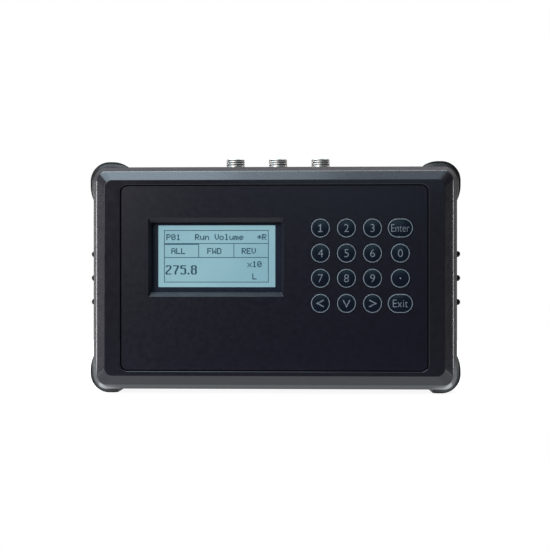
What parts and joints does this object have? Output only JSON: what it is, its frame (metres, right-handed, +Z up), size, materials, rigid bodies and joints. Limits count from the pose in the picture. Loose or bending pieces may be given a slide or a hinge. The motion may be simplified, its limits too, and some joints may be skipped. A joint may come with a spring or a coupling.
{
  "type": "handheld flow meter",
  "caption": "Landscape handheld flow meter: black case with a chamfered bezel, rubber corner bumpers, a recessed display, a keypad of domed keys and threaded sockets on top.",
  "frame": {"origin": "middle of the footprint, on the surface that the lower bumpers stand on", "axes": "+X to the reader's right, +Z up, +Y from the front panel to the back of the case"},
  "size_m": [0.2426, 0.048, 0.153],
  "materials": {
    "case_plastic": "satin",
    "panel_plastic": "satin",
    "bumper_rubber": "matte",
    "seal_rubber": "matte",
    "key_plastic": "satin",
    "socket_nickel": "satin",
    "pin_gold": "polished",
    "insert_brass": "satin",
    "screw_steel": "satin",
    "lens_clear": "gloss",
    "lcd_frame_black": "satin",
    "lcd_glass_teal": "gloss",
    "light_guide": "gloss",
    "board_green": "satin",
    "header_black": "satin",
    "lead_sheath": "satin",
    "battery_wrap": "satin"
  },
  "bodies": {
    "meter": {"battery_clamp": "screw_steel", "battery_pack": "battery_wrap", "battery_pad": "seal_rubber", "board_chips": "header_black", "board_screws": "screw_steel", "bumper_bottom_left": "bumper_rubber", "bumper_bottom_right": "bumper_rubber", "bumper_top_left": "bumper_rubber", "bumper_top_right": "bumper_rubber", "case_screws": "screw_steel", "clamp_screws": "screw_steel", "display_header": "header_black", "display_window": "lens_clear", "downstream_socket_insert": "header_black", "downstream_socket_pins": "pin_gold", "downstream_socket_shell": "socket_nickel", "front_bezel": "case_plastic", "front_panel": "panel_plastic", "housing_seal": "seal_rubber", "key_domes": "screw_steel", "keypad_board": "board_green", "keypad_header": "header_black", "lcd_backlight": "light_guide", "lcd_board": "board_green", "lcd_frame": "lcd_frame_black", "lcd_glass": "lcd_glass_teal", "lead_headers": "header_black", "main_board": "board_green", "output_socket_insert": "header_black", "output_socket_pins": "pin_gold", "output_socket_shell": "socket_nickel", "panel_gasket": "seal_rubber", "panel_screws": "screw_steel", "rear_housing": "case_plastic", "side_grip_left": "bumper_rubber", "side_grip_right": "bumper_rubber", "socket_leads": "lead_sheath", "socket_nuts": "socket_nickel", "socket_seals": "seal_rubber", "threaded_inserts": "insert_brass", "upstream_socket_insert": "header_black", "upstream_socket_pins": "pin_gold", "upstream_socket_shell": "socket_nickel"},
    "one_key": {"key_one": "key_plastic"},
    "two_key": {"key_two": "key_plastic"},
    "three_key": {"key_three": "key_plastic"},
    "enter_key": {"key_enter": "key_plastic"},
    "four_key": {"key_four": "key_plastic"},
    "five_key": {"key_five": "key_plastic"},
    "six_key": {"key_six": "key_plastic"},
    "zero_key": {"key_zero": "key_plastic"},
    "seven_key": {"key_seven": "key_plastic"},
    "eight_key": {"key_eight": "key_plastic"},
    "nine_key": {"key_nine": "key_plastic"},
    "point_key": {"key_point": "key_plastic"},
    "left_key": {"key_left": "key_plastic"},
    "down_key": {"key_down": "key_plastic"},
    "right_key": {"key_right": "key_plastic"},
    "exit_key": {"key_exit": "key_plastic"}
  },
  "joints": [
    {"name": "press_one", "type": "slide", "parent": "meter", "child": "one_key", "axis": [0, 1, 0], "range_m": [0, 0.0005], "stiffness_N_per_m": 300, "springref_m": -0.001, "deforming": ["key_domes"]},
    {"name": "press_two", "type": "slide", "parent": "meter", "child": "two_key", "axis": [0, 1, 0], "range_m": [0, 0.0005], "stiffness_N_per_m": 300, "springref_m": -0.001, "deforming": ["key_domes"]},
    {"name": "press_three", "type": "slide", "parent": "meter", "child": "three_key", "axis": [0, 1, 0], "range_m": [0, 0.0005], "stiffness_N_per_m": 300, "springref_m": -0.001, "deforming": ["key_domes"]},
    {"name": "press_enter", "type": "slide", "parent": "meter", "child": "enter_key", "axis": [0, 1, 0], "range_m": [0, 0.0005], "stiffness_N_per_m": 300, "springref_m": -0.001, "deforming": ["key_domes"]},
    {"name": "press_four", "type": "slide", "parent": "meter", "child": "four_key", "axis": [0, 1, 0], "range_m": [0, 0.0005], "stiffness_N_per_m": 300, "springref_m": -0.001, "deforming": ["key_domes"]},
    {"name": "press_five", "type": "slide", "parent": "meter", "child": "five_key", "axis": [0, 1, 0], "range_m": [0, 0.0005], "stiffness_N_per_m": 300, "springref_m": -0.001, "deforming": ["key_domes"]},
    {"name": "press_six", "type": "slide", "parent": "meter", "child": "six_key", "axis": [0, 1, 0], "range_m": [0, 0.0005], "stiffness_N_per_m": 300, "springref_m": -0.001, "deforming": ["key_domes"]},
    {"name": "press_zero", "type": "slide", "parent": "meter", "child": "zero_key", "axis": [0, 1, 0], "range_m": [0, 0.0005], "stiffness_N_per_m": 300, "springref_m": -0.001, "deforming": ["key_domes"]},
    {"name": "press_seven", "type": "slide", "parent": "meter", "child": "seven_key", "axis": [0, 1, 0], "range_m": [0, 0.0005], "stiffness_N_per_m": 300, "springref_m": -0.001, "deforming": ["key_domes"]},
    {"name": "press_eight", "type": "slide", "parent": "meter", "child": "eight_key", "axis": [0, 1, 0], "range_m": [0, 0.0005], "stiffness_N_per_m": 300, "springref_m": -0.001, "deforming": ["key_domes"]},
    {"name": "press_nine", "type": "slide", "parent": "meter", "child": "nine_key", "axis": [0, 1, 0], "range_m": [0, 0.0005], "stiffness_N_per_m": 300, "springref_m": -0.001, "deforming": ["key_domes"]},
    {"name": "press_point", "type": "slide", "parent": "meter", "child": "point_key", "axis": [0, 1, 0], "range_m": [0, 0.0005], "stiffness_N_per_m": 300, "springref_m": -0.001, "deforming": ["key_domes"]},
    {"name": "press_left", "type": "slide", "parent": "meter", "child": "left_key", "axis": [0, 1, 0], "range_m": [0, 0.0005], "stiffness_N_per_m": 300, "springref_m": -0.001, "deforming": ["key_domes"]},
    {"name": "press_down", "type": "slide", "parent": "meter", "child": "down_key", "axis": [0, 1, 0], "range_m": [0, 0.0005], "stiffness_N_per_m": 300, "springref_m": -0.001, "deforming": ["key_domes"]},
    {"name": "press_right", "type": "slide", "parent": "meter", "child": "right_key", "axis": [0, 1, 0], "range_m": [0, 0.0005], "stiffness_N_per_m": 300, "springref_m": -0.001, "deforming": ["key_domes"]},
    {"name": "press_exit", "type": "slide", "parent": "meter", "child": "exit_key", "axis": [0, 1, 0], "range_m": [0, 0.0005], "stiffness_N_per_m": 300, "springref_m": -0.001, "deforming": ["key_domes"]}
  ]
}
